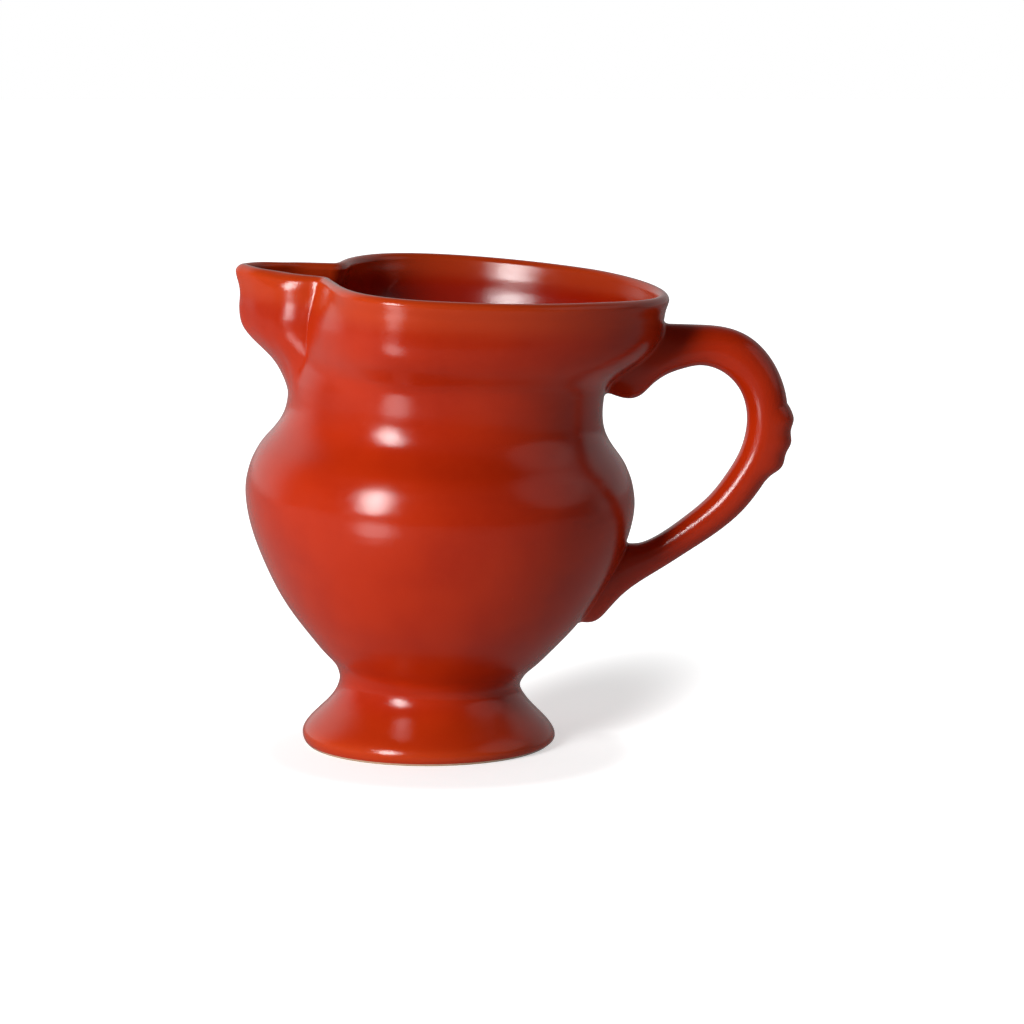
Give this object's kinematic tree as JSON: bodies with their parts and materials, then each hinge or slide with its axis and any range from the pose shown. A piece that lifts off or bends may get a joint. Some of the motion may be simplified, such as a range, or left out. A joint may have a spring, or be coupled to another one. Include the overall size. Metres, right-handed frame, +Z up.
{
  "type": "milk jug",
  "caption": "Footed milk jug in red-glazed earthenware: a round bowl under a flared collar, a beaked pouring spout, and a loop handle opposite it with a lobed crest.",
  "frame": {"origin": "on the table, under the middle of the jug's overall box", "axes": "+X towards the handle and -X towards the spout, +Y across the jug, +Z up"},
  "size_m": [0.1346, 0.0944, 0.1171],
  "materials": {
    "red_glaze": "satin gloss",
    "slip": "satin"
  },
  "bodies": {
    "root": {"bowl": "red_glaze", "spout": "red_glaze", "pedestal_foot": "red_glaze", "handle": "red_glaze", "handle_crest": "red_glaze", "foot_slip_joint": "slip", "spout_slip_joint": "slip", "upper_handle_slip_joint": "slip", "lower_handle_slip_joint": "slip"}
  },
  "joints": []
}
